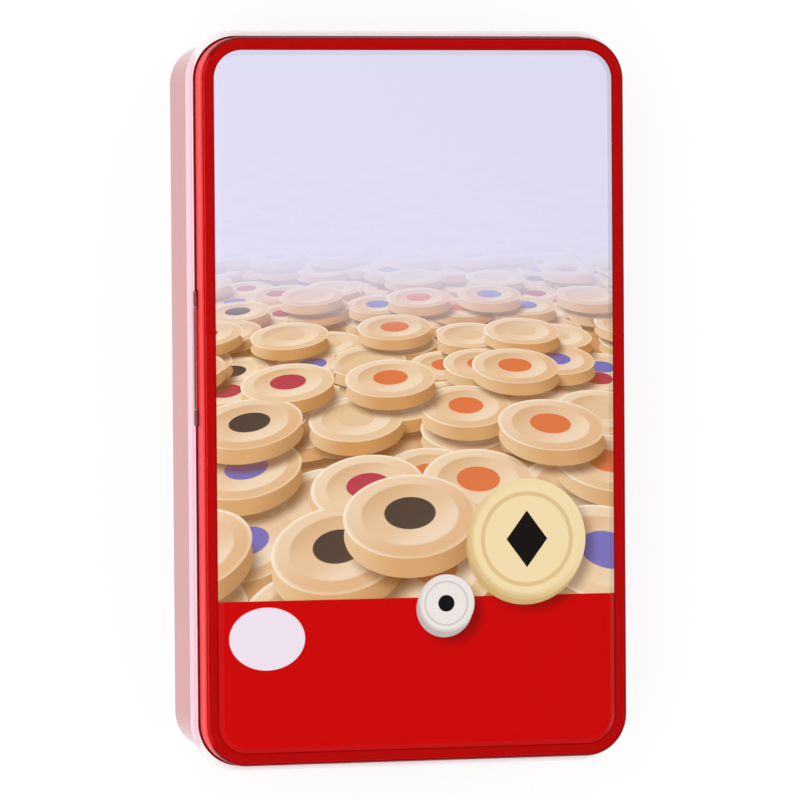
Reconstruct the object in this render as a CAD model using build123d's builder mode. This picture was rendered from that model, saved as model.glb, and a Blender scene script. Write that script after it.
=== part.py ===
"""Hinged tin case of a travel rummy set, with its tray, tiles, racks, die and rules leaflet.

Millimetres. The case lies flat: +Z is the lid's outward face, +Y runs along the long sides, and
the hinge is on the -X side. The origin is under the middle of the case, on the surface it rests on.
"""
import os

from build123d import *

# Lid: the outline of the case is taken over its skirt.
lid_length = 190.0
lid_width = 114.0
case_height = 48.0
corner_radius = 11.0
sheet = 0.3              # tinplate
skirt_height = 8.0       # from the top of the panel to the raw edge
lid_edge_radius = 1.2
border = 3.6             # flat rim round the raised panel
panel_rise = 0.8
panel_slope = 1.2        # width of the pressed step
thumb_lip_length = 30.0
thumb_lip_reach = 1.3

# Base
lid_gap = 0.4            # between the skirt and the neck inside it
rim_gap = 0.3            # between the rolled rim and the lid above it
rim_roll = 1.6           # diameter of the rolled rim
bead_height = 4.2
bead_reach = 2.0         # beyond the skirt
bead_clearance = 0.7     # below the raw edge of the skirt
base_edge_radius = 3.0
foot_width = 8.0         # ring that the base stands on
foot_height = 0.8

# Hinge
wire_diameter = 0.8
wire_clearance = 0.05    # radial, in the knuckle of the lid
crimp_clearance = 0.02   # radial, in the ears of the base
hinge_wall = 0.25
hinge_length = 35.0      # over both ears
hinge_centre = 11.5      # along Y
hinge_offset = 0.3       # of the wire's axis, outward from the skirt
hinge_drop = 0.3         # of the wire's axis, above the raw edge of the skirt
ear_length = 4.0
hinge_gap = 0.3          # between the knuckle and an ear
notch_clearance = 0.4    # round an ear, in the skirt

# Tiles: their length and thickness follow from the room that the case leaves for them.
tile_width = 20.0
tile_corner = 2.2
tile_edge = 0.5
tile_lift = 0.02         # air between the tiles of a stack
tile_headroom = 2.28     # over a full stack, under the border of the lid
tile_play = 0.3
finger_gap = 9.3         # at the foot of a row of stacks
dimple_diameter = 9.4
dimple_depth = 0.7
stack_columns = 2
stack_rows = 6
stack_layers = 10        # tiles
short_stack_layers = 6   # tiles in the one stack that is left over

# Die
die_size = 13.0
die_gap = 1.0            # between the die and the end of its channel
die_edge = 1.8
pip_diameter = 2.2
pip_depth = 0.5
pip_pitch = 3.4

# Racks: two wide and two high, they fill what the tiles leave of the tray.
rack_corner = 2.4        # in plan
rack_edge = 0.8
rack_play = 0.35
rack_drop = 1.58         # below the level of the tray
rack_front = 3.6         # from the front of the rack to its first slot
slot_floor = 4.7         # width of a slot at its floor
slot_mouth = 7.2
slot_depth = 7.0

# Tray and leaflet
tray_sheet = 0.6
tray_gap = 0.4           # between the tray and the rolled rim
tray_margin = 2.75       # from the edge of the tray to a well
tray_corner = 7.5
tray_hem = 4.0
rib = 2 * tray_sheet     # between wells, two walls pressed together
well_corner = 2.4
notch_width = 14.0
notch_depth = 11.0
leaflet_margin = 8.3     # from the edge of the tray
leaflet_fold = 0.18      # one layer of the folded sheet
leaflet_layers = 4

# Levels
border_level = case_height - panel_rise
skirt_level = case_height - skirt_height
neck_inset = sheet + lid_gap
rim_level = border_level - sheet - rim_gap
bead_top = skirt_level - bead_clearance
floor_level = foot_height + sheet
leaflet_thickness = leaflet_layers * leaflet_fold
tray_floor = floor_level + leaflet_thickness + tray_sheet
tray_level = skirt_level
tile_pitch = (border_level - sheet - tile_headroom - tray_floor) / stack_layers
tile_thickness = tile_pitch - tile_lift
rack_height = (tray_level - rack_drop - tray_floor) / 2

# Plan of the tray: two channels of tile stacks on the hinge side, the racks beside them.
tray_width = lid_width - 2 * (neck_inset + rim_roll + tray_gap)
tray_length = lid_length - 2 * (neck_inset + rim_roll + tray_gap)
channel_width = tile_width + 2 * tile_play
column_pitch = channel_width + rib
well_left = tray_margin - tray_width / 2
well_length = tray_length - 2 * tray_margin
row_pitch = (well_length - finger_gap) / stack_rows
tile_length = row_pitch - tile_play
dimple_offset = tile_length / 4
rack_left = well_left + stack_columns * column_pitch
rack_well_width = tray_width / 2 - tray_margin - rack_left
rack_width = (rack_well_width - 3 * rack_play) / 2
rack_length = well_length - 2 * rack_play
slot_pitch = (rack_width - rack_front) / 2

# Hinge line
wire_x = -lid_width / 2 - hinge_offset
wire_z = skirt_level + hinge_drop
wire_radius = wire_diameter / 2
knuckle_bore = wire_radius + wire_clearance
knuckle_radius = knuckle_bore + hinge_wall
hinge_start = hinge_centre - hinge_length / 2
hinge_end = hinge_centre + hinge_length / 2
knuckle_length = hinge_length - 2 * (ear_length + hinge_gap)
ear_centres = (hinge_start + ear_length / 2, hinge_end - ear_length / 2)


def rounded_block(inset, bottom, top, radius):
    """Upright block on the outline of the case, inset from the skirt."""
    with BuildPart() as block:
        with BuildSketch(Plane.XY.offset(bottom)):
            RectangleRounded(lid_width - 2 * inset, lid_length - 2 * inset, radius)
        extrude(amount=top - bottom)
    return block.part


def lid_form(inset, drop):
    """Solid form of the lid: the inside of the pressing is the outside, one sheet smaller."""
    top = border_level - drop
    with BuildPart() as form:
        add(rounded_block(inset, skirt_level - drop, top, corner_radius - inset))
        fillet(form.faces().sort_by(Axis.Z)[-1].edges(), lid_edge_radius - inset)
        for level, step in ((top, border), (top + panel_rise, border + panel_slope)):
            with BuildSketch(Plane.XY.offset(level)):
                RectangleRounded(lid_width - 2 * step, lid_length - 2 * step, corner_radius - step)
        loft()
    return form.part


def bead_form(inset):
    """Full round round the base, inset from the bead's crest."""
    middle = bead_top - bead_height / 2
    half = bead_height / 2 - inset
    outer = -bead_reach + inset
    with BuildPart() as bead:
        add(rounded_block(outer, middle - half, middle + half, corner_radius - outer))
        fillet(bead.edges().group_by(Axis.Z)[0] + bead.edges().group_by(Axis.Z)[-1], half * 0.97)
    return bead.part


def hinge_rod(radius, length, centre):
    """Round bar on the hinge line."""
    with BuildPart() as rod:
        with BuildSketch(Plane((wire_x, centre + length / 2, wire_z), z_dir=(0, 1, 0))):
            Circle(radius)
        extrude(amount=-length)
    return rod.part


# Lid: one pressing with a raised panel, a knuckle rolled from the skirt and a thumb lip.
lid_outside = lid_form(0.0, 0.0)
lid_inside = lid_form(sheet, sheet)
knuckle_outside = hinge_rod(knuckle_radius, knuckle_length, hinge_centre)
knuckle_inside = hinge_rod(knuckle_bore, hinge_length, hinge_centre)
with BuildPart() as lid_tin:
    add(lid_outside)
    add(lid_inside, mode=Mode.SUBTRACT)
    with BuildSketch(Plane.XY.offset(skirt_level)):
        with Locations((lid_width / 2, 0)):
            SlotOverall(thumb_lip_length, 2 * thumb_lip_reach, rotation=90)
        with Locations((lid_width / 2 - sheet / 2 - thumb_lip_reach, 0)):
            Rectangle(2 * thumb_lip_reach, thumb_lip_length, mode=Mode.SUBTRACT)
    extrude(amount=sheet)
    for ear_centre in ear_centres:
        with BuildSketch(Plane.XY.offset(skirt_level - sheet)):
            with Locations((-lid_width / 2, ear_centre)):
                Rectangle(4 * sheet, ear_length + 2 * hinge_gap)
        extrude(amount=sheet + hinge_drop + knuckle_radius + notch_clearance, mode=Mode.SUBTRACT)
    add(knuckle_outside)
    add(knuckle_inside, mode=Mode.SUBTRACT)
lid_tin.part.label = "lid_tin"

# Base: drawn tinplate with a foot ring, a pressed bead, a rolled rim and two ears for the wire.
bead_outside = bead_form(0.0)
bead_inside = bead_form(sheet)
cavity_inset = neck_inset + sheet
with BuildPart() as base_shell:
    add(rounded_block(neck_inset, 0.0, rim_level - rim_roll / 2, corner_radius - neck_inset))
    fillet(base_shell.faces().sort_by(Axis.Z)[0].edges(), base_edge_radius)
    add(bead_outside)
with BuildPart() as base_cavity:
    add(rounded_block(cavity_inset, sheet, rim_level, corner_radius - cavity_inset))
    fillet(base_cavity.faces().sort_by(Axis.Z)[0].edges(), base_edge_radius - sheet)
    add(bead_inside)
    with BuildSketch(Plane.XY):
        RectangleRounded(
            lid_width - 2 * (neck_inset + foot_width) + 2 * sheet,
            lid_length - 2 * (neck_inset + foot_width) + 2 * sheet,
            corner_radius - neck_inset,
        )
    extrude(amount=floor_level, mode=Mode.SUBTRACT)
with BuildPart() as rim:
    with BuildSketch(Plane.XY.offset(rim_level - rim_roll)):
        RectangleRounded(
            lid_width - 2 * neck_inset, lid_length - 2 * neck_inset, corner_radius - neck_inset
        )
        RectangleRounded(
            lid_width - 2 * (neck_inset + rim_roll),
            lid_length - 2 * (neck_inset + rim_roll),
            corner_radius - neck_inset - rim_roll,
            mode=Mode.SUBTRACT,
        )
    extrude(amount=rim_roll)
    fillet(rim.edges().group_by(Axis.Z)[0] + rim.edges().group_by(Axis.Z)[-1], rim_roll / 2 * 0.97)
ears = [hinge_rod(knuckle_radius, ear_length, ear_centre) for ear_centre in ear_centres]
ear_bore = hinge_rod(wire_radius + crimp_clearance, 2 * hinge_length, hinge_centre)
with BuildPart() as base_tin:
    add(base_shell.part)
    add(base_cavity.part, mode=Mode.SUBTRACT)
    with BuildSketch(Plane.XY):
        RectangleRounded(
            lid_width - 2 * (neck_inset + foot_width),
            lid_length - 2 * (neck_inset + foot_width),
            corner_radius - neck_inset,
        )
    extrude(amount=foot_height, mode=Mode.SUBTRACT)
    add(rim.part)
    for ear_centre in ear_centres:
        with BuildSketch(Plane.XY.offset(wire_z - knuckle_radius)):
            with Locations((-lid_width / 2 + neck_inset + sheet / 2, ear_centre)):
                Rectangle(
                    neck_inset + hinge_offset + sheet / 2, ear_length, align=(Align.MAX, Align.CENTER)
                )
        extrude(amount=hinge_wall)
    add(ears)
    add(ear_bore, mode=Mode.SUBTRACT)
base_tin.part.label = "base_tin"

# Hinge wire, held in the ears of the base.
with BuildPart() as hinge_wire:
    add(hinge_rod(wire_radius, hinge_length, hinge_centre))
    fillet(hinge_wire.edges().filter_by(GeomType.CIRCLE), wire_radius / 4)
hinge_wire.part.label = "hinge_wire"

# Rules: one sheet, folded, so that its layers lie on the bottom of the base.
with BuildPart() as rules_leaflet:
    with BuildSketch(Plane.XY.offset(floor_level)):
        Rectangle(tray_width - 2 * leaflet_margin, tray_length - 2 * leaflet_margin)
    extrude(amount=leaflet_thickness)
rules_leaflet.part.label = "rules_leaflet"

# Places in the tray, with the head of the case first.
rack_middle = rack_left + rack_well_width / 2
column_middles = [well_left + channel_width / 2 + column * column_pitch for column in range(stack_columns)]
row_middles = [well_length / 2 - tile_play - tile_length / 2 - row * row_pitch for row in range(stack_rows)]
full_places = [(across, along) for along in row_middles[:-1] for across in column_middles]
short_place = (column_middles[0], row_middles[-1])
wells = [(across, channel_width) for across in column_middles]
wells.append((rack_middle, rack_well_width))

# Tray: one thermoformed sheet, with a hem turned down round its edge.
with BuildPart() as insert_tray:
    with BuildSketch(Plane.XY.offset(tray_level - tray_hem)):
        RectangleRounded(tray_width, tray_length, tray_corner)
        RectangleRounded(
            tray_width - 2 * tray_sheet,
            tray_length - 2 * tray_sheet,
            tray_corner - tray_sheet,
            mode=Mode.SUBTRACT,
        )
    extrude(amount=tray_hem)
    with BuildSketch(Plane.XY.offset(tray_level - tray_sheet)):
        RectangleRounded(tray_width, tray_length, tray_corner)
    extrude(amount=tray_sheet)
    with BuildSketch(Plane.XY.offset(tray_floor - tray_sheet)):
        for across, width in wells:
            with Locations((across, 0)):
                RectangleRounded(
                    width + 2 * tray_sheet, well_length + 2 * tray_sheet, well_corner + tray_sheet
                )
    extrude(amount=tray_level - tray_floor + tray_sheet)
    with BuildSketch(Plane.XY.offset(tray_floor)):
        for across, width in wells:
            with Locations((across, 0)):
                RectangleRounded(width, well_length, well_corner)
    extrude(amount=tray_level - tray_floor, mode=Mode.SUBTRACT)
    with BuildSketch(Plane((well_left + channel_width, 0, tray_level), x_dir=(0, 1, 0), z_dir=(1, 0, 0))):
        for along in row_middles[:-1:2]:
            with Locations((along - row_pitch / 2, 0)):
                SlotOverall(2 * notch_depth, notch_width, rotation=90)
    extrude(amount=rib, mode=Mode.SUBTRACT)
insert_tray.part.label = "insert_tray"

# One tile: a rounded slip with a shallow thumb dimple near its foot.
dimple_ball = (dimple_diameter**2 / 4 + dimple_depth**2) / (2 * dimple_depth)
with BuildPart() as tile:
    with BuildSketch():
        RectangleRounded(tile_width, tile_length, tile_corner)
    extrude(amount=tile_thickness)
    fillet(tile.faces().sort_by(Axis.Z)[-1].edges(), tile_edge)
    fillet(tile.faces().sort_by(Axis.Z)[0].edges(), tile_edge)
    with Locations((0, -dimple_offset, tile_thickness + dimple_ball - dimple_depth)):
        Sphere(dimple_ball, mode=Mode.SUBTRACT)

stack_plan = [(place, stack_layers) for place in full_places]
stack_plan.append((short_place, short_stack_layers))
tile_stacks = []
for number, ((across, along), count) in enumerate(stack_plan, start=1):
    with BuildPart() as tile_stack:
        with Locations([(across, along, tray_floor + layer * tile_pitch) for layer in range(count)]):
            add(tile.part)
    tile_stack.part.label = f"tile_stack_{number:02d}"
    tile_stacks.append(tile_stack.part)

# Die, lying at the foot end of the second channel. Opposite faces add up to seven.
die_middle = (column_middles[1], die_size / 2 + die_gap - well_length / 2, tray_floor + die_size / 2)
pip_ball = (pip_diameter**2 / 4 + pip_depth**2) / (2 * pip_depth)
pip_rise = die_size / 2 + pip_ball - pip_depth
diagonal = [(-pip_pitch, -pip_pitch), (pip_pitch, pip_pitch)]
other_diagonal = [(-pip_pitch, pip_pitch), (pip_pitch, -pip_pitch)]
pips = {
    1: [(0, 0)],
    2: diagonal,
    3: diagonal + [(0, 0)],
    4: diagonal + other_diagonal,
    5: diagonal + other_diagonal + [(0, 0)],
    6: diagonal + other_diagonal + [(0, -pip_pitch), (0, pip_pitch)],
}
die_faces = {
    5: Plane(die_middle),
    2: Plane(die_middle, z_dir=(0, 0, -1)),
    3: Plane(die_middle, z_dir=(1, 0, 0)),
    4: Plane(die_middle, z_dir=(-1, 0, 0)),
    6: Plane(die_middle, z_dir=(0, 1, 0)),
    1: Plane(die_middle, z_dir=(0, -1, 0)),
}
with BuildPart() as die:
    with Locations(die_middle):
        Box(die_size, die_size, die_size)
    fillet(die.edges(), die_edge)
    for value, face_plane in die_faces.items():
        with Locations(face_plane.offset(pip_rise)):
            with Locations(pips[value]):
                Sphere(pip_ball, mode=Mode.SUBTRACT)
die.part.label = "die"

# Racks: bars with two slots each, whose back wall leans.
racks = []
for number in range(4):
    column = number % 2
    layer = number // 2
    rack_side = rack_left + rack_play + column * (rack_width + rack_play)
    rack_base = tray_floor + layer * rack_height
    with BuildPart() as rack:
        with BuildSketch(Plane.XY.offset(rack_base)):
            with Locations((rack_side + rack_width / 2, 0)):
                RectangleRounded(rack_width, rack_length, rack_corner)
        extrude(amount=rack_height)
        fillet(rack.edges().group_by(Axis.Z)[0] + rack.edges().group_by(Axis.Z)[-1], rack_edge)
        with BuildSketch(Plane((0, rack_length / 2, 0), x_dir=(1, 0, 0), z_dir=(0, -1, 0))):
            for slot_front in (rack_side + rack_front, rack_side + rack_front + slot_pitch):
                with BuildLine():
                    Polyline(
                        (slot_front, rack_base + rack_height - slot_depth),
                        (slot_front + slot_floor, rack_base + rack_height - slot_depth),
                        (slot_front + slot_mouth, rack_base + rack_height),
                        (slot_front, rack_base + rack_height),
                        close=True,
                    )
                make_face()
        extrude(amount=rack_length, mode=Mode.SUBTRACT)
    rack.part.label = f"rack_{number + 1}"
    racks.append(rack.part)

os.makedirs("parts", exist_ok=True)
pieces = [
    base_tin.part,
    lid_tin.part,
    hinge_wire.part,
    rules_leaflet.part,
    insert_tray.part,
    die.part,
    *racks,
    *tile_stacks,
]
for piece in pieces:
    export_step(piece, f"parts/{piece.label}.step")
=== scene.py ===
import math

import bpy
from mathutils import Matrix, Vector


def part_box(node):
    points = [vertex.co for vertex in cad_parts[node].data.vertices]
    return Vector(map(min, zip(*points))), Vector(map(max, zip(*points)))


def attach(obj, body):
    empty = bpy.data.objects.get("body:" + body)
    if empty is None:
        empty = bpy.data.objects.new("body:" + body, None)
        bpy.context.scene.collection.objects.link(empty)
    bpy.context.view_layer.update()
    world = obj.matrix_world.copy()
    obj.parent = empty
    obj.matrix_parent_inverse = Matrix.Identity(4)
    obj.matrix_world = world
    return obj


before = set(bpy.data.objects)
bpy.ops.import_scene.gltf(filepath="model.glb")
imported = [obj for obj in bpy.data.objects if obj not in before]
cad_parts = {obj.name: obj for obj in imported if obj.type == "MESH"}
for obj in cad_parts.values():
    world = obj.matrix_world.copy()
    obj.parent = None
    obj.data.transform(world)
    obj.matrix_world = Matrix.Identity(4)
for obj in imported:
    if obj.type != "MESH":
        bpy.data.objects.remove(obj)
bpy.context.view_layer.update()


# ---------------------------------------------------------------------------------------------
# Base: one sheet of tinplate, printed red on the outside while flat and then drawn. The print
# stops at the foot and at the neck, where the steel is bare, as it is all over the inside.
# ---------------------------------------------------------------------------------------------
MM = 0.001


class Socket:
    """An output in a finish's node tree. Sums and products of sockets add Math nodes to it."""

    def __init__(self, tree, output=None):
        self.tree = tree
        self.output = output

    def node(self, kind, settings=None, inputs=None, output=0):
        """Adds a node: its type, its settings first, then the values or links of its sockets."""
        made = self.tree.nodes.new("ShaderNode" + kind)
        for name, value in (settings or {}).items():
            if name == "stops":
                ramp = made.color_ramp
                for place, colour in value[1:-1]:
                    ramp.elements.new(place).color = colour
                for end in (0, -1):
                    ramp.elements[end].position, ramp.elements[end].color = value[end]
            elif name == "spread":
                made.color_ramp.interpolation = value
            else:
                setattr(made, name, value)
        for name, value in (inputs or {}).items():
            if isinstance(value, Socket):
                self.tree.links.new(value.output, made.inputs[name])
            else:
                made.inputs[name].default_value = value
        return Socket(self.tree, made.outputs[output] if made.outputs else None)

    def also(self, output):
        """Another output of the same node."""
        return Socket(self.tree, self.output.node.outputs[output])

    def maths(self, operation, *values):
        return self.node("Math", {"operation": operation}, dict(enumerate(values)))

    def __add__(self, other):
        return self.maths("ADD", self, other)

    def __sub__(self, other):
        return self.maths("SUBTRACT", self, other)

    def __rsub__(self, other):
        return self.maths("SUBTRACT", other, self)

    def __mul__(self, other):
        return self.maths("MULTIPLY", self, other)

    def __truediv__(self, other):
        return self.maths("DIVIDE", self, other)

    def __rtruediv__(self, other):
        return self.maths("DIVIDE", other, self)

    def __gt__(self, other):
        return self.maths("GREATER_THAN", self, other)

    def __lt__(self, other):
        return self.maths("LESS_THAN", self, other)

    def __abs__(self):
        return self.maths("ABSOLUTE", self)

    __radd__ = __add__
    __rmul__ = __mul__

    def least(self, other):
        return self.maths("MINIMUM", self, other)

    def most(self, other):
        return self.maths("MAXIMUM", self, other)

    def floor(self):
        return self.maths("FLOOR", self)

    def fraction(self):
        return self.maths("FRACT", self)

    def length(self, other):
        """Distance from the origin of the point (self, other)."""
        return self.maths("SQRT", self * self + other * other)

    def rise(self, low, high, bottom=0.0, top=1.0):
        """Goes smoothly from bottom to top while self goes from low to high."""
        return self.node(
            "MapRange",
            {"interpolation_type": "SMOOTHSTEP"},
            {"Value": self, "From Min": low, "From Max": high, "To Min": bottom, "To Max": top},
        )


def new_finish(name):
    """A material, and a socket from which its nodes are made."""
    material = bpy.data.materials.new(name)
    material.use_nodes = True
    material.node_tree.nodes.clear()
    return material, Socket(material.node_tree)


def place_on(finish):
    """The place on the piece in millimetres: the point, then its x, y and z."""
    point = finish.node("TexCoord", output="Object")
    scaled = finish.node("VectorMath", {"operation": "SCALE"}, {0: point, "Scale": 1 / MM})
    x = finish.node("SeparateXYZ", inputs={0: scaled})
    return scaled, x, x.also("Y"), x.also("Z")


def blend(factor, under, over):
    """Colour over where factor is 1, and under where it is 0."""
    return factor.node("Mix", {"data_type": "RGBA"}, {0: factor, 6: under, 7: over}, 2)


def grain(finish, point, scale, detail=3.0, stretch=(1.0, 1.0, 1.0)):
    """Noise of that many features to the millimetre, stretched along an axis if asked."""
    pulled = finish.node("Mapping", inputs={"Vector": point, "Scale": stretch})
    return finish.node(
        "TexNoise", inputs={"Vector": pulled, "Scale": scale, "Detail": detail, "Roughness": 0.6}
    )


def bump(finish, height, distance):
    """A normal from a height of 0 to 1 that stands for so many millimetres."""
    shape = {"Strength": 1.0, "Distance": distance * MM, "Height": height}
    return finish.node("Bump", inputs=shape)


def cover(finish, **sockets):
    """Closes a finish with its surface shader; underscores stand for spaces."""
    named = {name.replace("_", " "): value for name, value in sockets.items()}
    shader = finish.node("BsdfPrincipled", inputs=named)
    finish.node("OutputMaterial", inputs={"Surface": shader})


def dress(material, *names):
    """Gives CAD nodes their finish in the slots of their meshes."""
    for name in names:
        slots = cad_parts[name].data.materials
        slots.clear()
        slots.append(material)


def srgb(red, green, blue):
    """A colour of 0 to 255 as the renderer keeps it."""
    levels = [part / 255 for part in (red, green, blue)]
    levels = [v / 12.92 if v <= 0.04045 else ((v + 0.055) / 1.055) ** 2.4 for v in levels]
    return (*levels, 1.0)


half_width = 57.0
half_length = 95.0
corner = 11.0


def outside_skirt(x, y):
    """Distance from the line of the lid's skirt, outward, in plan."""
    along = abs(x) - (half_width - corner)
    across = abs(y) - (half_length - corner)
    round_corner = along.most(0.0).length(across.most(0.0))
    return round_corner + along.most(across).least(0.0) - corner


bare_tin = srgb(205, 207, 208)
neck_line = 39.4
ear_line = 39.1
foot_line = 2.6
bead_middle = 37.2
bead_half = 2.1
bead_depth = 0.1
wall_line = -0.85
hinge_face = (-57.6, -56.0)


def tin_cover(finish, point, printed, colour, varnish=1.0, dull=0.0, matt=None):
    """Ink where printed is 1 and rolled tinplate where it is 0, with the gloss gone by matt."""
    fine = grain(finish, point, 0.9)
    rolled = grain(finish, point, 1.6, 4.0, (1.0, 0.04, 1.0))
    ripple = grain(finish, point, 0.035, 1.0)
    bare = 1.0 - printed
    steel = blend(rolled.rise(0.3, 0.75), srgb(186, 188, 190), bare_tin)
    seen = blend(printed, steel, colour)
    relief = bump(finish, ripple + bare * rolled * 0.05 + fine * 0.004, 0.06)
    surface = finish.node(
        "BsdfPrincipled",
        inputs={
            "Base Color": seen,
            "Metallic": bare,
            "Roughness": printed * (fine * 0.05 + 0.09 + dull) + bare * (rolled * 0.2 + 0.2),
            "Coat Weight": printed * varnish,
            "Coat Roughness": 0.04,
            "Coat IOR": 1.5,
            "Normal": relief,
        },
    )
    if matt is not None:
        rubbed = finish.node(
            "BsdfPrincipled",
            inputs={
                "Base Color": seen,
                "Roughness": 1.0,
                "Specular IOR Level": 0.0,
                "Normal": relief,
            },
        )
        surface = finish.node("MixShader", inputs={0: printed * matt, 1: surface, 2: rubbed})
    finish.node("OutputMaterial", inputs={"Surface": surface})


base_tin, base_finish = new_finish("base_printed_tinplate")
point, x, y, z = place_on(base_finish)
skirt_out = outside_skirt(x, y)
from_bead = z - bead_middle
in_bead = abs(from_bead) < bead_half - 0.3
on_bead = (abs(from_bead) < bead_half) * (skirt_out > -bead_depth)
enamel = on_bead * (skirt_out > 0.5)
bead_skin = (skirt_out + bead_depth).length(from_bead) - bead_half
outer = in_bead * (bead_skin > -0.15) + (1.0 - in_bead) * (skirt_out > wall_line)
ears = (z > ear_line) * (skirt_out > -0.25)
below_neck = z.rise(neck_line + 0.1, neck_line).most(ears)
printed = outer * z.rise(foot_line, foot_line + 0.15) * below_neck
mottle = grain(base_finish, point, 0.02, 2.0)
wall_red = blend(mottle.rise(0.3, 0.7), srgb(198, 3, 5), srgb(206, 5, 7))
# Painted shade: where the bead meets the wall, and on the hinge ears, the red is dark, standing for
# the shadow in the groove under the lid's skirt.
wall_red = blend(on_bead.most(ears), wall_red, srgb(122, 4, 10))
# Painted reflection: on the hinge side the bead's white is tinted pink, standing for the red lid
# mirrored in it.
white = blend(x.rise(*hinge_face), srgb(246, 206, 221), srgb(255, 249, 251))
tin_cover(
    base_finish, point, printed, blend(enamel, wall_red, white), enamel * 0.4 + 0.45
)
dress(base_tin, "base_tin")


# ---------------------------------------------------------------------------------------------
# Hinge wire: drawn steel, dulled by its drawing grease, cut to length and held in the two ears
# of the base. The knuckle of the lid turns on it.
# ---------------------------------------------------------------------------------------------
steel_wire, wire_finish = new_finish("drawn_steel_wire")
point, x, y, z = place_on(wire_finish)
drawn = grain(wire_finish, point, 3.0, 3.0, (1.0, 0.05, 1.0))
cover(
    wire_finish,
    Base_Color=blend(drawn.rise(0.3, 0.7), srgb(104, 102, 102), srgb(142, 140, 140)),
    Metallic=1.0,
    Roughness=drawn * 0.25 + 0.3,
    Normal=bump(wire_finish, drawn, 0.01),
)
dress(steel_wire, "hinge_wire")


# ---------------------------------------------------------------------------------------------
# Rules leaflet: white uncoated paper, folded in four, flat on the bottom under the tray.
# ---------------------------------------------------------------------------------------------
leaflet_paper, paper_finish = new_finish("leaflet_paper")
point, x, y, z = place_on(paper_finish)
fibre = grain(paper_finish, point, 1.5, 4.0)
leaflet_foot = 1.1
fold_height = 0.18
# Painted shade: the foot of each folded sheet is greyer, standing for the shade in the gap between
# the sheets.
sheet_gap_shade = ((z - leaflet_foot) / fold_height).fraction().rise(0.0, 0.25)
cover(
    paper_finish,
    Base_Color=blend(sheet_gap_shade * fibre.rise(0.2, 0.6), srgb(206, 204, 197), srgb(241, 240, 235)),
    Roughness=fibre * 0.15 + 0.75,
    Normal=bump(paper_finish, fibre, 0.02),
)
dress(leaflet_paper, "rules_leaflet")


# ---------------------------------------------------------------------------------------------
# Tray: black styrene sheet, drawn over a mould by vacuum. It is matt on the face, with a fine
# leather-like grain, and shinier where the sheet stretched down the walls of the wells.
# ---------------------------------------------------------------------------------------------
tray_sheet, tray_finish = new_finish("tray_black_styrene")
point, x, y, z = place_on(tray_finish)
pebble = tray_finish.node(
    "TexVoronoi", {"feature": "SMOOTH_F1"}, {"Vector": point, "Scale": 2.2, "Smoothness": 0.6}
)
haze = grain(tray_finish, point, 0.05, 2.0)
stretched = z.rise(39.6, 36.0)
cover(
    tray_finish,
    Base_Color=blend(haze.rise(0.3, 0.7), srgb(26, 26, 28), srgb(38, 38, 40)),
    Roughness=0.52 - stretched * 0.16 + haze * 0.08,
    Normal=bump(tray_finish, pebble * (1.0 - stretched * 0.7), 0.05),
)
dress(tray_sheet, "insert_tray")


# ---------------------------------------------------------------------------------------------
# Tiles: cream melamine, moulded and tumbled, ten to a stack and six in the last. Each has a
# round thumb dimple near its foot, and the mouldings differ a little in shade.
# ---------------------------------------------------------------------------------------------
stack_foot = 2.42
tile_pitch = 4.22
row_start = 4.5
row_pitch = 28.3
column_start = -30.35
column_pitch = 21.8

tile_cream, tile_finish = new_finish("tile_cream_melamine")
point, x, y, z = place_on(tile_finish)
layer = ((z - stack_foot) / tile_pitch).floor()
row = ((y - row_start) / row_pitch).floor()
column = ((x - column_start) / column_pitch).floor()
which = layer + column * 7.3 + row * 3.1
shade = tile_finish.node("TexWhiteNoise", {"noise_dimensions": "1D"}, {"W": which})
cloud = grain(tile_finish, point, 0.12, 4.0)
speck = grain(tile_finish, point, 2.4, 2.0)
body = blend(shade, srgb(229, 206, 160), srgb(239, 219, 177))
body = blend(cloud.rise(0.35, 0.75, 0.0, 0.35), body, srgb(245, 229, 194))
cover(
    tile_finish,
    Base_Color=blend(speck.rise(0.62, 0.72, 0.0, 0.25), body, srgb(214, 188, 140)),
    Roughness=cloud * 0.14 + 0.3,
    Coat_Weight=0.25,
    Coat_Roughness=0.2,
    Normal=bump(tile_finish, cloud * 0.7 + speck * 0.3, 0.04),
)
dress(tile_cream, *[f"tile_stack_{number:02d}" for number in range(1, 12)])


# ---------------------------------------------------------------------------------------------
# Numbers: stamped in ink on the top tile of each stack, above the dimple, in the four colours
# of such a set. The short stack ends in a joker, which has a star in their place.
# ---------------------------------------------------------------------------------------------
ink_lift = 0.015
number_level = stack_foot + 10 * tile_pitch - 0.02 + ink_lift
number_height = 10.5
number_rise = 5.2
one_figure, two_figures = 0.95, 0.82
inks = {
    "black": srgb(28, 26, 27),
    "red": srgb(196, 22, 40),
    "blue": srgb(34, 64, 156),
    "orange": srgb(226, 104, 22),
}
top_tiles = [
    (1, "7", "red"), (2, "12", "black"), (3, "3", "blue"), (4, "9", "orange"), (5, "13", "black"),
    (6, "5", "red"), (7, "10", "blue"), (8, "1", "orange"), (9, "8", "black"), (10, "11", "blue"),
]
stamped = {}
for ink_name, ink_colour in inks.items():
    stamped[ink_name], ink_finish = new_finish("tile_ink_" + ink_name)
    point, x, y, z = place_on(ink_finish)
    worn = grain(ink_finish, point, 3.0, 3.0)
    pale = tuple(part * 0.8 + 0.2 * part ** 0.5 for part in ink_colour)
    cover(
        ink_finish,
        Base_Color=blend(worn.rise(0.45, 0.8), ink_colour, pale),
        Roughness=worn * 0.2 + 0.38,
        Normal=bump(ink_finish, worn, 0.01),
    )


def settle(piece, name, body):
    """Leaves a finished piece at the origin with its place in its mesh, riding on a body."""
    piece.name = name
    bpy.ops.object.select_all(action="DESELECT")
    piece.select_set(True)
    bpy.context.view_layer.objects.active = piece
    bpy.ops.object.transform_apply(location=True, rotation=True, scale=True)
    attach(piece, body)
    return piece


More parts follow.
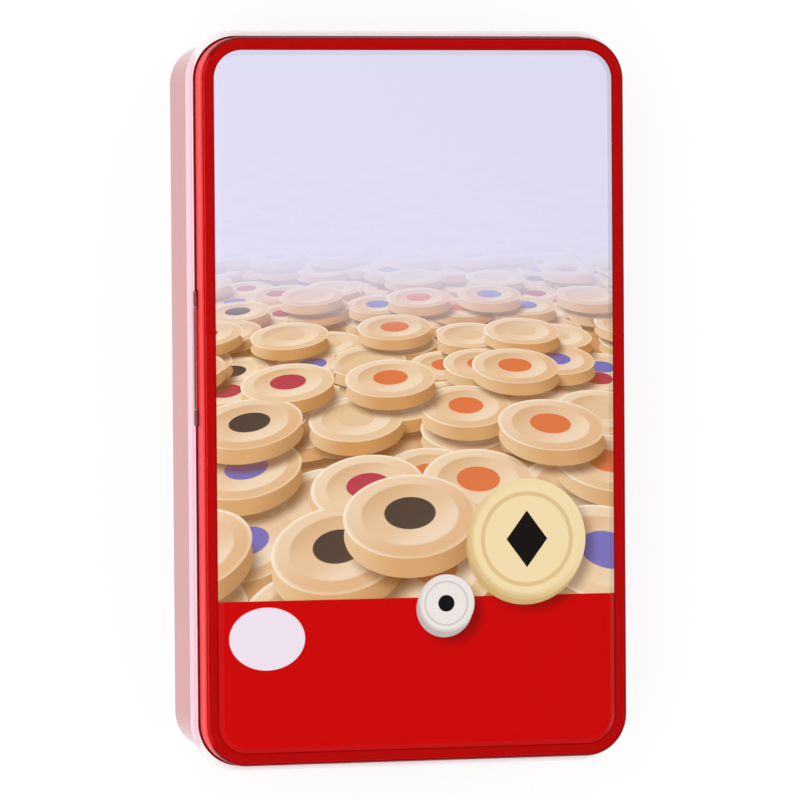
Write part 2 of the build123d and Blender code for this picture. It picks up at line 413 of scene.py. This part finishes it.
for stack, figure, ink_name in top_tiles:
    low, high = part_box(f"tile_stack_{stack:02d}")
    bpy.ops.object.select_all(action="DESELECT")
    bpy.ops.object.text_add(radius=1.0)
    number = bpy.context.object
    number.data.body = figure
    number.data.align_x = "CENTER"
    number.data.align_y = "CENTER"
    number.data.resolution_u = 6
    number.data.offset = 0.012
    bpy.ops.object.convert(target="MESH")
    number = bpy.context.object
    tall = number_height * MM / number.dimensions.y
    wide = tall * (two_figures if len(figure) > 1 else one_figure)
    number.scale = [wide, tall, 1]
    bpy.ops.object.transform_apply(location=False, rotation=False, scale=True)
    across, along = zip(*[vertex.co.xy for vertex in number.data.vertices])
    number.location = (
        (low.x + high.x) / 2 - (min(across) + max(across)) / 2,
        (low.y + high.y) / 2 + number_rise * MM - (min(along) + max(along)) / 2,
        number_level * MM,
    )
    number.data.materials.append(stamped[ink_name])
    settle(number, f"number_{stack:02d}", "base")

low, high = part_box("tile_stack_11")
star_radius = 5.6
star_waist = 0.42
star_middle = (
    (low.x + high.x) / 2,
    (low.y + high.y) / 2 + number_rise * MM,
    high.z + ink_lift * MM,
)
bpy.ops.object.select_all(action="DESELECT")
bpy.ops.mesh.primitive_circle_add(
    vertices=10, radius=star_radius * MM, fill_type="NGON", location=star_middle
)
star = bpy.context.object
bpy.ops.object.mode_set(mode="EDIT")
bpy.ops.mesh.select_mode(type="VERT")
bpy.ops.mesh.select_all(action="DESELECT")
bpy.ops.object.mode_set(mode="OBJECT")
for vertex in star.data.vertices:
    vertex.select = vertex.index % 2 == 1
bpy.ops.object.mode_set(mode="EDIT")
bpy.ops.transform.resize(value=(star_waist, star_waist, 1.0), center_override=star.location)
bpy.ops.object.mode_set(mode="OBJECT")
star.data.materials.append(stamped["red"])
settle(star, "joker_star", "base")


# ---------------------------------------------------------------------------------------------
# Die: white moulded plastic with rounded edges, its pips sunk and filled with black.
# ---------------------------------------------------------------------------------------------
die_low, die_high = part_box("die")
die_middle = [(die_low[axis] + die_high[axis]) / 2 / MM for axis in range(3)]
die_face = 6.46
pip_field = 4.62

die_white, die_finish = new_finish("die_white_plastic")
point, x, y, z = place_on(die_finish)
sides = [abs(x - die_middle[0]), abs(y - die_middle[1]), abs(z - die_middle[2])]
farthest = sides[0].most(sides[1]).most(sides[2])
second = sides[0].least(sides[1]).most(sides[0].most(sides[1]).least(sides[2]))
pip = (farthest < die_face) * (second < pip_field)
cloud = grain(die_finish, point, 0.3, 3.0)
cover(
    die_finish,
    Base_Color=blend(pip, blend(cloud, srgb(236, 233, 226), srgb(244, 242, 237)), srgb(18, 18, 19)),
    Roughness=cloud * 0.08 + 0.2 + pip * 0.2,
    Coat_Weight=0.4,
    Coat_Roughness=0.1,
    Normal=bump(die_finish, cloud, 0.02),
)
dress(die_white, "die")


# ---------------------------------------------------------------------------------------------
# Racks: four ivory bars, extruded and sawn to length, with two slots in which tiles stand.
# ---------------------------------------------------------------------------------------------
rack_ivory, rack_finish = new_finish("rack_ivory_plastic")
point, x, y, z = place_on(rack_finish)
drawn = grain(rack_finish, point, 1.2, 3.0, (1.0, 0.03, 1.0))
cloud = grain(rack_finish, point, 0.04, 2.0)
cover(
    rack_finish,
    Base_Color=blend(cloud.rise(0.3, 0.7), srgb(226, 216, 192), srgb(236, 228, 207)),
    Roughness=drawn * 0.15 + 0.3,
    Coat_Weight=0.2,
    Coat_Roughness=0.2,
    Normal=bump(rack_finish, drawn, 0.02),
)
dress(rack_ivory, "rack_1", "rack_2", "rack_3", "rack_4")


# ---------------------------------------------------------------------------------------------
# Lid: the same tinplate as the base, printed on the flat before the panel was pressed up. Red
# runs round the border and over the foot of the face, with a bare oval and two upright counters.
# Above it a scatter of dished counters fades into a pale sky.
# ---------------------------------------------------------------------------------------------
panel_foot = 3.6
panel_slope = 1.2
panel_rise = 0.8
edge_radius = 1.2
border_level = 47.2
art_inset = 3.5
band_top = -51.8
knuckle_line = 0.08
mist = srgb(228, 226, 248)
sand = srgb(222, 174, 126)
cream = srgb(238, 202, 160)
light_cream = srgb(246, 224, 194)
tan = srgb(208, 148, 84)
umber = srgb(126, 76, 34)

lid_tin, lid_finish = new_finish("lid_printed_tinplate")
point, x, y, z = place_on(lid_finish)
skirt_out = outside_skirt(x, y)
over_edge = (skirt_out + edge_radius).most(0.0).length((z - (border_level - edge_radius)).most(0.0))
inward = 0.0 - skirt_out
panel = ((inward - panel_foot) / panel_slope).most(0.0).least(1.0) * panel_rise
lid_printed = (over_edge - edge_radius - panel) > -0.15


def counters(ground, pitch, radius, share, shift, thickness, scatter):
    """A layer of round counters seen from low down: shadow, edge, dished face and spot."""

    def nearest(right, down):
        far = (horizon - y - down) / 100.0
        u = ((x - right) / far - shift[0]) / pitch
        v = (eye_height / far - shift[1]) / pitch
        spot = lid_finish.node("CombineXYZ", inputs={"X": u, "Y": v})
        cell = lid_finish.node(
            "TexVoronoi",
            {"voronoi_dimensions": "2D", "feature": "F1"},
            {"Vector": spot, "Scale": 1.0, "Randomness": scatter},
        )
        chance = lid_finish.node("SeparateColor", inputs={0: cell.also("Color")})
        offset = lid_finish.node(
            "VectorMath", {"operation": "SUBTRACT"}, {0: spot, 1: cell.also("Position")}
        )
        side = lid_finish.node("SeparateXYZ", inputs={0: offset})
        reach = pitch / radius
        tone, hue = chance.also("Green"), chance.also("Blue")
        return cell * pitch, chance, tone, hue, side * reach, side.also("Y") * reach

    near = (horizon - y) / 100.0
    distance, chance, _, _, _, _ = nearest(near * 1.8, near * (thickness + 2.2))
    shadow = distance.rise(radius + 2.4, radius - 2.6) * (chance < share)
    layer = blend(shadow * 0.8, ground, umber)
    distance, chance, tone, _, side, _ = nearest(near * 0.2, near * thickness)
    edge = distance.rise(radius + 0.12, radius - 0.12) * (chance < share)
    edge_colour = blend(tone, tan, srgb(222, 172, 118))
    edge_colour = blend(side.rise(-0.1, -1.0) * 0.7, edge_colour, srgb(244, 210, 166))
    edge_colour = blend(side.rise(0.1, 1.0) * 0.55, edge_colour, srgb(160, 106, 56))
    layer = blend(edge, layer, edge_colour)
    distance, chance, tone, hue, side, back = nearest(0.0, 0.0)
    bright = srgb(252, 236, 212)
    face = distance.rise(radius + 0.12, radius - 0.12) * (chance < share)
    lit = back - side
    top = blend(tone, cream, srgb(230, 184, 138))
    top = blend(lit.rise(-0.9, 1.1) * 0.6, top, light_cream)
    rim = distance.rise(radius - 1.3, radius - 0.3)
    top = blend(rim * lit.rise(-1.2, 0.7, 0.25, 0.95), top, bright)
    dish = distance.rise(radius * 0.76, radius * 0.7)
    top = blend(dish * lit.rise(-0.1, 1.0) * 0.55, top, tan)
    top = blend(dish * lit.rise(0.1, -0.9) * 0.6, top, bright)
    colour = lid_finish.node(
        "ValToRGB",
        {
            "spread": "CONSTANT",
            "stops": [
                (0.0, srgb(112, 106, 190)),
                (0.2, srgb(186, 34, 66)),
                (0.4, srgb(226, 112, 52)),
                (0.56, srgb(56, 40, 38)),
                (0.7, srgb(232, 196, 152)),
            ],
        },
        {0: hue},
    )
    spot = distance.rise(radius * 0.4, radius * 0.375)
    top = blend(spot * 0.92, top, colour)
    return blend(face, layer, top)


horizon = 80.0
eye_height = 180.0
ground = blend(grain(lid_finish, point, 0.05, 2.0).rise(0.3, 0.7), sand, srgb(206, 150, 92))
art = counters(ground, 27.0, 13.6, 1.0, (3.0, 5.0), 3.6, 0.72)
art = counters(art, 36.0, 15.0, 0.8, (16.0, -6.0), 3.8, 0.42)
art = counters(art, 45.0, 16.4, 0.64, (-10.0, 13.0), 4.0, 0.42)
art = blend(y.rise(14.0, 41.0) * 0.97, art, mist)
art = blend(y.rise(46.0, 90.0) * 0.5, art, srgb(224, 223, 245))


def medal(under, middle, radius, edge_colour, face_colour, mark_colour, mark):
    """A counter stood up to face the front, with its edge, its shadow and a mark."""
    right = x - middle[0]
    up = y - middle[1]
    shadow = (right - 1.6).length(up + 2.2).rise(radius + 2.6, radius - 1.8)
    under = blend(shadow * 0.55, under, srgb(66, 12, 8))
    edge = (right + 0.5).length(up + 1.3).rise(radius + 0.1, radius - 0.1)
    under = blend(edge, under, edge_colour)
    away = right.length(up)
    face = blend((right + up).rise(-1.4 * radius, 1.4 * radius), edge_colour, face_colour)
    face = blend(away.rise(radius * 0.86, radius * 0.97) * 0.7, face_colour, face)
    ring = away.rise(radius * 0.7, radius * 0.73) * away.rise(radius * 0.8, radius * 0.77)
    face = blend(ring * 0.6, face, edge_colour)
    face = blend(mark(right, up), face, mark_colour)
    return blend(away.rise(radius + 0.1, radius - 0.1), under, face)


badge_middle = (-40.7, -61.7)
badge_reach = (10.1, 8.2)
badge_x = (x - badge_middle[0]) / badge_reach[0]
badge_y = (y - badge_middle[1]) / badge_reach[1]
badge = badge_x.length(badge_y).rise(1.012, 0.988)

inked = blend(y.rise(band_top - 0.1, band_top + 0.1), srgb(207, 3, 4), art)
inked = blend(badge, inked, srgb(240, 228, 240))
inked = medal(
    inked, (7.5, -53.5), 7.6, srgb(196, 186, 184), srgb(240, 232, 228), srgb(24, 22, 24),
    lambda right, up: right.length(up).rise(2.3, 2.1),
)
inked = medal(
    inked, (29.5, -37.0), 16.0, srgb(214, 178, 118), srgb(246, 224, 176), srgb(26, 22, 22),
    lambda right, up: (abs(right) * 1.35 + abs(up)).rise(7.6, 7.4),
)
# Painted shade: the upper part of the rounded outer edge, except on the hinge side, is dark red,
# standing for the shade where the edge turns away from the light.
painted_edge_shade = skirt_out.rise(-0.85, -0.7) * z.rise(45.9, 46.1) * x.rise(-56.2, -54.0)
# Painted light and shade: the flat border is a deeper red than the band, standing for the less
# light it gets, and the drawn-down skirt is a brighter red, standing for the light falling on it
# from the side.
border_red_and_painted_light = blend(skirt_out.rise(-0.45, -0.3), srgb(184, 4, 5), srgb(250, 19, 17))
border_red_and_painted_light = blend(painted_edge_shade, border_red_and_painted_light, srgb(132, 3, 5))
# Painted shade: a dark red line at the foot of the panel's slope, standing for the shade on the
# slope.
border_red_and_painted_light = blend(skirt_out.rise(-3.05, -3.25), border_red_and_painted_light, srgb(146, 3, 5))
# Painted shade: the hinge knuckle is dark red, standing for the shadow of the groove below it
# carried on along the hinge.
border_red_and_painted_light = blend(skirt_out > knuckle_line, border_red_and_painted_light, srgb(140, 6, 10))
inked = blend(inward.rise(art_inset + 0.1, art_inset - 0.1), inked, border_red_and_painted_light)
drawn_down = (skirt_out > -0.4) * (skirt_out < knuckle_line)
turned = skirt_out.rise(-1.3, -1.15) * (1.0 - drawn_down) * (skirt_out < knuckle_line)
tin_cover(
    lid_finish, point, lid_printed, inked, 1.0 - drawn_down, drawn_down * 0.3, turned * 0.85
)
dress(lid_tin, "lid_tin")


# ---------------------------------------------------------------------------------------------
# Studio: a white sweep under the case, soft lamps at both sides and ends, and a room that is
# white at the level of the case and dark overhead.
# ---------------------------------------------------------------------------------------------
bpy.ops.object.select_all(action="DESELECT")
bpy.ops.mesh.primitive_circle_add(vertices=96, radius=2.6, fill_type="NGON")
floor = bpy.context.object
floor.name = "studio_floor"
floor_white, floor_finish = new_finish("studio_floor_white")
rays = floor_finish.node("LightPath", output="Is Camera Ray")
seen = rays.most(rays.also("Is Glossy Ray")).most(rays.also("Is Transmission Ray"))
paint = floor_finish.node("BsdfDiffuse", inputs={"Color": (0.7, 0.7, 0.7, 1)})
lifted = floor_finish.node("Emission", inputs={"Color": (1, 1, 1, 1), "Strength": 1.15})
mixed = floor_finish.node("MixShader", inputs={0: seen * 0.72, 1: paint, 2: lifted})
floor_finish.node("OutputMaterial", inputs={"Surface": mixed})
floor.data.materials.append(floor_white)

world = bpy.data.worlds.new("studio_room")
bpy.context.scene.world = world
world.use_nodes = True
world.node_tree.nodes.clear()
room = Socket(world.node_tree)
toward = room.node("TexCoord", output="Generated")
up = room.node("SeparateXYZ", inputs={0: toward}).also("Z")
rays = room.node("LightPath", output="Is Camera Ray")
mirrored = rays.also("Is Glossy Ray").most(rays.also("Is Transmission Ray"))
low_wall = up.rise(0.02, 0.13, 1.0, 0.07).least(up.rise(0.1, 0.8, 1.0, 0.015))
strength = rays.most(mirrored * low_wall).most((1.0 - mirrored) * 0.6)
backdrop = room.node("Background", inputs={"Color": (1, 1, 1, 1), "Strength": strength})
room.node("OutputWorld", inputs={"Surface": backdrop})

lamps = [
    ("lamp_left", (-0.45, 0.0, 0.95), (1.0, 0.35), 3.7),
    ("lamp_low", (-1.1, 0.0, 0.3), (1.4, 0.5), 2.0),
    ("lamp_right", (0.75, 0.1, 0.75), (1.0, 0.4), 0.6),
    ("lamp_head", (0.1, 1.0, 1.0), (1.4, 0.5), 1.8),
    ("lamp_foot", (0.0, -1.0, 1.0), (1.4, 0.5), 1.8),
]
for name, spot, size, power in lamps:
    lamp = bpy.data.lights.new(name, "AREA")
    lamp.shape = "RECTANGLE"
    lamp.size, lamp.size_y = size
    lamp.energy = power
    holder = bpy.data.objects.new(name, lamp)
    bpy.context.scene.collection.objects.link(holder)
    holder.location = spot
    away = holder.location.to_track_quat("Z", "Y")
    holder.rotation_euler = away.to_euler()

view = bpy.data.cameras.new("camera")
view.lens = 234.0
view.sensor_width = 36.0
view.clip_start = 0.05
view.clip_end = 20.0
camera = bpy.data.objects.new("camera", view)
bpy.context.scene.collection.objects.link(camera)
camera.location = (-0.3268, 0.0435, 1.36937)
camera.rotation_euler = [math.radians(turn) for turn in (-1.729, -13.714, -0.42)]
bpy.context.scene.camera = camera
bpy.context.scene.view_settings.view_transform = "Standard"
